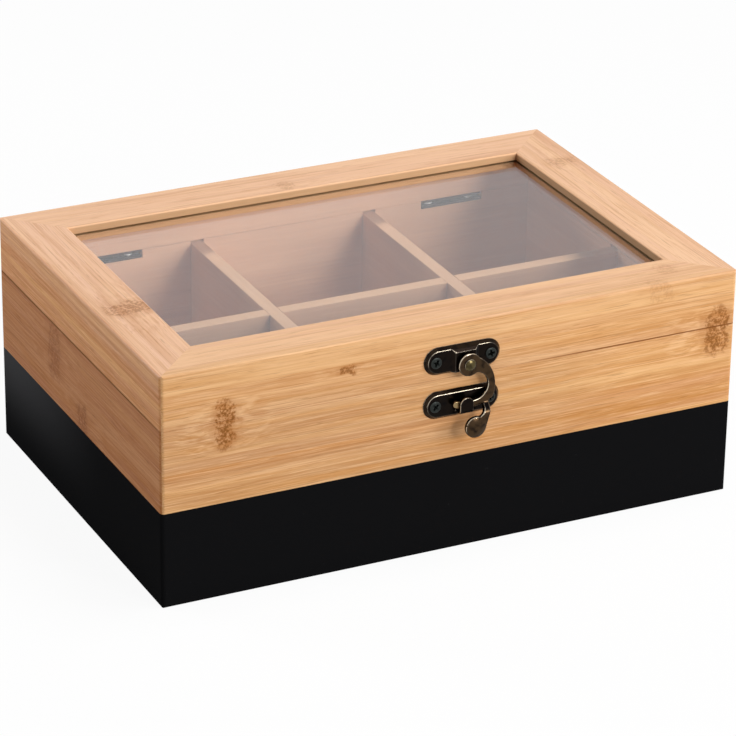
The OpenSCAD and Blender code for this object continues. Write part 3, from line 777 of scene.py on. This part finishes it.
def softened(node, name, material, passes):
    """A copy of a stamped node whose sharp edges are rounded as a tumbled part's are."""
    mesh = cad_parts[node].data.copy()
    shape = bmesh.new()
    shape.from_mesh(mesh)
    bmesh.ops.remove_doubles(shape, verts=shape.verts, dist=1e-6)
    bmesh.ops.transform(shape, matrix=Matrix.Scale(1 / MM, 4), verts=shape.verts)
    bmesh.ops.recalc_face_normals(shape, faces=shape.faces)
    shape.to_mesh(mesh)
    shape.free()
    rough = linked(name + "_rough", mesh)
    remesh = rough.modifiers.new("Remesh", "REMESH")
    remesh.mode = "VOXEL"
    remesh.voxel_size = bpy.context.scene.tea_box_metal.grain / MM
    remesh.use_smooth_shade = True
    smooth = rough.modifiers.new("Smooth", "SMOOTH")
    smooth.factor = 0.5
    smooth.iterations = passes
    piece = settled(rough, name, material)
    piece.data.transform(Matrix.Scale(MM, 4))
    for polygon in piece.data.polygons:
        polygon.use_smooth = True
    return piece


def carry(piece, body, slot, *nodes):
    """Puts a finished piece on its body, in place of the nodes it stands for."""
    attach(piece, body)
    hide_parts(*nodes)


def closed_mesh(shape, name):
    """A mesh of what was drawn, its faces outwards."""
    bmesh.ops.remove_doubles(shape, verts=shape.verts, dist=1e-4)
    bmesh.ops.recalc_face_normals(shape, faces=shape.faces)
    mesh = bpy.data.meshes.new(name)
    shape.to_mesh(mesh)
    shape.free()
    return mesh


def screw_blank(head_radius, head_height, shank_radius, length):
    """A pan head screw that points down, its head standing on z = 0. It is cut in millimetres."""
    steps = 6
    profile = [(0.0, head_height)]
    for i in range(1, steps + 1):
        angle = math.pi / 2 * i / steps
        radius = head_radius * math.sin(angle) ** 0.6
        profile.append((radius, head_height * (0.4 + 0.6 * math.cos(angle))))
    profile += [(head_radius, 0.0), (shank_radius, 0.0), (shank_radius, -length + shank_radius)]
    profile.append((0.0, -length))
    shape = bmesh.new()
    verts = [shape.verts.new((r, 0, z)) for r, z in profile]
    edges = [shape.edges.new(pair) for pair in zip(verts, verts[1:])]
    bmesh.ops.spin(
        shape, geom=verts + edges, cent=(0, 0, 0), axis=(0, 0, 1), dvec=(0, 0, 0), angle=2 * math.pi, steps=40,
        use_duplicate=False,
    )
    blank = linked("screw_blank", closed_mesh(shape, "screw_blank"))
    cutter = linked("cross_cutter", cross_cutter(head_radius, head_height))
    cut = blank.modifiers.new("Cross", "BOOLEAN")
    cut.operation = "DIFFERENCE"
    cut.solver = "EXACT"
    cut.object = cutter
    mesh = bpy.data.meshes.new_from_object(blank.evaluated_get(bpy.context.evaluated_depsgraph_get()))
    mesh.transform(Matrix.Scale(MM, 4))
    for piece in (blank, cutter):
        bpy.data.objects.remove(piece)
    return mesh


def cross_cutter(head_radius, head_height):
    """The tapering cross of a driver's tip, deep enough to be dark inside."""
    arm, blade = head_radius * 0.74, head_radius * 0.25
    corner = [(arm, -blade), (arm, blade), (blade, blade)]
    outline = []
    for turn in range(4):
        spin = Matrix.Rotation(turn * math.pi / 2, 2)
        outline += [spin @ Vector(point) for point in corner]
    shape = bmesh.new()
    high = [shape.verts.new((px, py, head_height * 1.5)) for px, py in outline]
    low = [shape.verts.new((px * 0.3, py * 0.3, -head_height * 1.6)) for px, py in outline]
    shape.faces.new(high)
    shape.faces.new(low[::-1])
    for i, start in enumerate(high):
        j = (i + 1) % len(high)
        shape.faces.new((high[j], start, low[i], low[j]))
    return closed_mesh(shape, "cross_cutter")


def screw_tree():
    """Geometry nodes that set a screw on every point, each turned by its own angle."""
    tree = bpy.data.node_groups.new("screws_on_points", "GeometryNodeTree")
    for name, kind in (
        ("Geometry", "NodeSocketGeometry"),
        ("Screw", "NodeSocketObject"),
        ("Direction", "NodeSocketVector"),
        ("Seed", "NodeSocketInt"),
        ("Material", "NodeSocketMaterial"),
    ):
        tree.interface.new_socket(name, in_out="INPUT", socket_type=kind)
    tree.interface.new_socket("Geometry", in_out="OUTPUT", socket_type="NodeSocketGeometry")
    given = tree.nodes.new("NodeGroupInput")
    result = tree.nodes.new("NodeGroupOutput")
    screw = tree.nodes.new("GeometryNodeObjectInfo")
    aim = tree.nodes.new("FunctionNodeAlignRotationToVector")
    aim.axis = "Z"
    angle = tree.nodes.new("FunctionNodeRandomValue")
    angle.data_type = "FLOAT"
    spin = tree.nodes.new("FunctionNodeAxisAngleToRotation")
    turned = tree.nodes.new("FunctionNodeRotateRotation")
    turned.rotation_space = "LOCAL"
    placed = tree.nodes.new("GeometryNodeInstanceOnPoints")
    real = tree.nodes.new("GeometryNodeRealizeInstances")
    coated = tree.nodes.new("GeometryNodeSetMaterial")
    lowest, highest = angle.inputs[2], angle.inputs[3]
    lowest.default_value, highest.default_value = 0.0, math.pi / 2
    spin.inputs["Axis"].default_value = (0, 0, 1)
    for start, end in (
        (given.outputs["Screw"], screw.inputs["Object"]),
        (given.outputs["Direction"], aim.inputs["Vector"]),
        (given.outputs["Seed"], angle.inputs["Seed"]),
        (angle.outputs[1], spin.inputs["Angle"]),
        (aim.outputs[0], turned.inputs["Rotation"]),
        (spin.outputs[0], turned.inputs["Rotate By"]),
        (given.outputs["Geometry"], placed.inputs["Points"]),
        (screw.outputs["Geometry"], placed.inputs["Instance"]),
        (turned.outputs[0], placed.inputs["Rotation"]),
        (placed.outputs[0], real.inputs[0]),
        (real.outputs[0], coated.inputs["Geometry"]),
        (given.outputs["Material"], coated.inputs["Material"]),
        (coated.outputs[0], result.inputs[0]),
    ):
        tree.links.new(start, end)
    return tree


def screw_group(name, places, direction, blank, material, seed, tree):
    """One mesh of like screws on the given points."""
    mesh = bpy.data.meshes.new(name + "_points")
    mesh.from_pydata(places, [], [])
    holder = linked(name + "_points", mesh)
    nodes = holder.modifiers.new("Screws", "NODES")
    nodes.node_group = tree
    values = {"Screw": blank, "Direction": direction, "Seed": seed, "Material": material}
    for item in tree.interface.items_tree:
        if item.in_out == "INPUT" and item.name in values:
            nodes[item.identifier] = values[item.name]
    return settled(holder, name, material)


def screw_seats(node, direction, head_radius):
    """Where the heads of a node's screws sit, and how long the screws are."""
    low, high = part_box(node)
    upright = abs(direction.z) > 0.5
    axis = 2 if upright else 1
    sign = 1 if direction[axis] > 0 else -1
    outer, inner = (high[axis], low[axis]) if sign > 0 else (low[axis], high[axis])
    seat = outer - sign * SEAT_DEPTH
    if upright:
        centres = head_centres(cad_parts[node].data, head_radius)
        places = [(x, (low.y + high.y) / 2, seat) for x in centres]
    else:
        places = [(x, seat, (low.z + high.z) / 2) for x in (low.x + head_radius, high.x - head_radius)]
    return places, abs(seat - inner)


def head_centres(mesh, head_radius):
    """The middles, along X, of the separate screws in a mesh."""
    xs = sorted(v.co.x for v in mesh.vertices)
    groups = [[xs[0]]]
    for value in xs[1:]:
        if value - groups[-1][-1] > head_radius:
            groups.append([])
        groups[-1].append(value)
    return [round((group[0] + group[-1]) / 2, 4) for group in groups]


class TEABOX_OT_walls(bpy.types.Operator):
    """Finish the walls of the base and the lid: strip bamboo, painted black below"""

    bl_idname = "teabox.walls"
    bl_label = "Finish Walls"

    def execute(self, context):
        for side, along, seed, marks, tints, left_darkening, seam in (
            ("front", "X", 3, FRONT_MARKS, FRONT_TINTS, None, (15.0, 60.0)),
            ("back", "X", 5, BACK_MARKS, (), None, (90.0, -60.0)),
            ("left", "Y", 7, LEFT_MARKS, LEFT_TINTS, LEFT_DARKENING, (-90.0, -50.0)),
            ("right", "Y", 11, RIGHT_MARKS, (), None, (90.0, 0.0)),
        ):
            name = side + "_wall_bamboo"
            material = bamboo(name, along, seed, marks, tints, left_darkening=left_darkening, wall=True, seam=seam)
            dress(f"base_{side}_wall", material)
            dress(f"lid_{side}_wall", material)
        return {"FINISHED"}


class TEABOX_OT_rails(bpy.types.Operator):
    """Finish the mitred rails round the glass"""

    bl_idname = "teabox.rails"
    bl_label = "Finish Rails"

    def execute(self, context):
        for side, along, seed, marks, tints, top_sheen, left_darkening in (
            ("front", "X", 13, FRONT_RAIL_MARKS, FRONT_RAIL_TINTS, 0.35, None),
            ("back", "X", 17, BACK_RAIL_MARKS, (), 0.5, None),
            ("left", "Y", 7, LEFT_RAIL_MARKS, (), 0.55, LEFT_DARKENING),
            ("right", "Y", 23, RIGHT_RAIL_MARKS, (), 0.45, None),
        ):
            name = side + "_rail_bamboo"
            material = bamboo(name, along, seed, marks, tints, top_sheen=top_sheen, left_darkening=left_darkening, figure=0.95)
            dress(f"lid_{side}_rail", material)
        return {"FINISHED"}


class TEABOX_OT_inside(bpy.types.Operator):
    """Finish the bottom panel and the dividers in bare bamboo"""

    bl_idname = "teabox.inside"
    bl_label = "Finish Inside"

    def execute(self, context):
        wood = context.scene.tea_box_bamboo
        for node, along, seed, base in (
            ("bottom_panel", "X", 29, wood.panel),
            ("long_divider", "X", 31, wood.bare),
            ("short_divider_left", "Y", 37, wood.bare),
            ("short_divider_right", "Y", 41, wood.bare),
        ):
            dress(node, bamboo(node + "_bamboo", along, seed, bare=base))
        return {"FINISHED"}


class TEABOX_OT_glass(bpy.types.Operator):
    """Finish the glass of the lid"""

    bl_idname = "teabox.glass"
    bl_label = "Finish Glass"

    def execute(self, context):
        dress("glass_pane", clear_glass())
        return {"FINISHED"}


class TEABOX_OT_hinges(bpy.types.Operator):
    """Finish the hinge leaves and their pins"""

    bl_idname = "teabox.hinges"
    bl_label = "Finish Hinges"

    def execute(self, context):
        zinc = zinc_plate()
        for side in ("left", "right"):
            for part in ("base_leaf", "lid_leaf", "pin"):
                dress(f"hinge_{side}_{part}", zinc)
        return {"FINISHED"}


class TEABOX_OT_latch(bpy.types.Operator):
    """Make the latch: two pressed plates, the swing hook and its rivet"""

    bl_idname = "teabox.latch"
    bl_label = "Make Latch"

    def execute(self, context):
        metal = context.scene.tea_box_metal
        plates = antique_bronze("blackened_bronze", 0.1, 0.45, metal.brown)
        rubbed = antique_bronze("rubbed_bronze", 1.0, 0.0, metal.brown, FINGER_TIP)
        head = antique_bronze("rivet_bronze", 1.0, 0.6, metal.olive)
        for node, name, body, material, passes in (
            ("latch_lid_plate", "lid_plate", "lid", plates, 9),
            ("latch_base_plate", "keeper_plate", "base", plates, 9),
            ("latch_hook", "swing_hook", "latch_hook", rubbed, 26),
            ("latch_pivot_rivet", "pivot_rivet", "lid", head, 5),
        ):
            carry(softened(node, name, material, passes), body, "antique_bronze", node)
        return {"FINISHED"}


class TEABOX_OT_screws(bpy.types.Operator):
    """Set the screws of the hinges and of the latch"""

    bl_idname = "teabox.screws"
    bl_label = "Set Screws"

    def execute(self, context):
        metal = context.scene.tea_box_metal
        tree = screw_tree()
        # Material, slot, and in millimetres the head's radius and height and the shank's radius
        dark = (screw_steel("blackened_screw", metal.screw), "dark_screw", (2.05, 0.55, 1.0))
        bright = (screw_steel("zinc_screw", metal.zinc), "hinge_steel", (1.6, 0.5, 0.9))
        for node, name, body, direction, kind, seed in (
            ("latch_lid_screws", "lid_plate_screws", "lid", (0, -1, 0), dark, 4),
            ("latch_base_screws", "keeper_screws", "base", (0, -1, 0), dark, 9),
            ("hinge_base_screws", "hinge_base_screw_set", "base", (0, 0, 1), bright, 2),
            ("hinge_lid_screws", "hinge_lid_screw_set", "lid", (0, 0, -1), bright, 6),
        ):
            material, slot, (head_radius, head_height, shank_radius) = kind
            places, length = screw_seats(node, Vector(direction), head_radius * MM)
            blank = linked("screw", screw_blank(head_radius, head_height, shank_radius, length / MM))
            piece = screw_group(name, places, direction, blank, material, seed, tree)
            bpy.data.objects.remove(blank)
            carry(piece, body, slot, node)
        return {"FINISHED"}


def softbox(name, power, place, size, mirrored):
    """A square lamp; mirrored tells whether the glass and the metal show it."""
    light = bpy.data.lights.new(name, "AREA")
    light.shape = "SQUARE"
    light.size = size
    light.energy = power
    lamp = linked(name, light)
    lamp.location = place
    lamp.visible_glossy = lamp.visible_transmission = mirrored
    lamp.rotation_mode = "QUATERNION"
    lamp.rotation_quaternion = (LAMP_AIM - Vector(place)).to_track_quat("-Z", "Y")


def white_world(ambient):
    """White to the camera, to gloss and through glass; a level ambient light to everything else."""
    g = Graph(bpy.data.worlds.new("white_studio"))
    white = g.node("ShaderNodeBackground")
    level = g.node("ShaderNodeBackground")
    g.feed(level.inputs["Strength"], ambient)
    for background in (white, level):
        g.feed(background.inputs["Color"], (1, 1, 1))
    bpy.context.scene.world = g.output(g.mix_shader(g.looked_at(), level.outputs[0], white.outputs[0]))


def white_table():
    """A white table that keeps a soft share of the box's shadow."""
    g = Graph(bpy.data.materials.new("white_table"))
    lit = g.node("ShaderNodeBsdfDiffuse")
    g.feed(lit.inputs["Color"], (0.86, 0.86, 0.86))
    glow = g.node("ShaderNodeEmission")
    material = g.output(g.mix_shader(g.times(g.looked_at(), 0.93), lit.outputs[0], glow.outputs[0]))
    corners = ((-1, -1), (1, -1), (1, 1), (-1, 1))
    mesh = bpy.data.meshes.new("table")
    mesh.from_pydata([(x * TABLE_HALF, y * TABLE_HALF, -TABLE_DROP) for x, y in corners], [], [(0, 1, 2, 3)])
    new_piece("table", mesh, material)


def camera(stage):
    """Looks at the box from the front and a little from the left, with a long lens."""
    a, e, roll = stage.azimuth, stage.elevation, stage.roll
    back = Vector((math.sin(a) * math.cos(e), -math.cos(a) * math.cos(e), math.sin(e)))
    right = Vector((0, 0, 1)).cross(back).normalized()
    up = back.cross(right)
    turned_right = right * math.cos(roll) + up * math.sin(roll)
    turned_up = up * math.cos(roll) - right * math.sin(roll)
    lens = bpy.data.cameras.new("product_lens")
    lens.sensor_width = 36
    lens.lens = stage.lens
    lens.clip_start, lens.clip_end = 0.05, 20
    eye = linked("product_camera", lens)
    basis = Matrix((turned_right, turned_up, back)).transposed().to_4x4()
    place = Vector(stage.target) + back * stage.distance
    eye.matrix_world = Matrix.Translation(place) @ basis
    bpy.context.scene.camera = eye


class TEABOX_OT_stage(bpy.types.Operator):
    """Set the table, the light and the camera"""

    bl_idname = "teabox.stage"
    bl_label = "Set Stage"

    def execute(self, context):
        stage = context.scene.tea_box_stage
        context.scene.view_settings.view_transform = "Standard"
        white_world(stage.ambient)
        white_table()
        for name, power, place, size, mirrored in (
            ("front_softbox", stage.key, (0.54, -1.46, 0.73), 0.5, True),
            ("right_softbox", stage.side, (0.98, -0.85, 0.42), 0.4, False),
            ("top_softbox", stage.top, (0.42, -0.1, 1.44), 0.6, False),
            ("rear_softbox", stage.fill, (-0.55, 0.5, 0.3), 0.3, True),
        ):
            softbox(name, power, place, size, mirrored)
        camera(stage)
        return {"FINISHED"}


class TEABOX_PT_panel(bpy.types.Panel):
    """Lists the steps of the tea box, with their settings below"""

    bl_idname = "TEABOX_PT_panel"
    bl_label = "Tea Box"
    bl_space_type = "VIEW_3D"
    bl_region_type = "UI"
    bl_category = "Tea Box"

    def draw(self, context):
        for step in STEPS:
            self.layout.operator(step.bl_idname)
        for name in SETTINGS:
            settings = getattr(context.scene, name)
            box = self.layout.box()
            for key in settings.__annotations__:
                box.prop(settings, key)


STEPS = (
    TEABOX_OT_walls,
    TEABOX_OT_rails,
    TEABOX_OT_inside,
    TEABOX_OT_glass,
    TEABOX_OT_hinges,
    TEABOX_OT_latch,
    TEABOX_OT_screws,
    TEABOX_OT_stage,
)
SETTINGS = {
    "tea_box_bamboo": TEABOX_PG_bamboo,
    "tea_box_paint": TEABOX_PG_paint,
    "tea_box_glass": TEABOX_PG_glass,
    "tea_box_metal": TEABOX_PG_metal,
    "tea_box_stage": TEABOX_PG_stage,
}


def register():
    for group in SETTINGS.values():
        bpy.utils.register_class(group)
    for name, group in SETTINGS.items():
        setattr(bpy.types.Scene, name, PointerProperty(type=group))
    for step in STEPS:
        bpy.utils.register_class(step)
    bpy.utils.register_class(TEABOX_PT_panel)


def unregister():
    bpy.utils.unregister_class(TEABOX_PT_panel)
    for step in reversed(STEPS):
        bpy.utils.unregister_class(step)
    for name, group in SETTINGS.items():
        delattr(bpy.types.Scene, name)
        bpy.utils.unregister_class(group)


def main():
    register()
    bpy.ops.teabox.walls()
    bpy.ops.teabox.rails()
    bpy.ops.teabox.inside()
    bpy.ops.teabox.glass()
    bpy.ops.teabox.hinges()
    bpy.ops.teabox.latch()
    bpy.ops.teabox.screws()
    bpy.ops.teabox.stage()


if __name__ == "__main__":
    main()
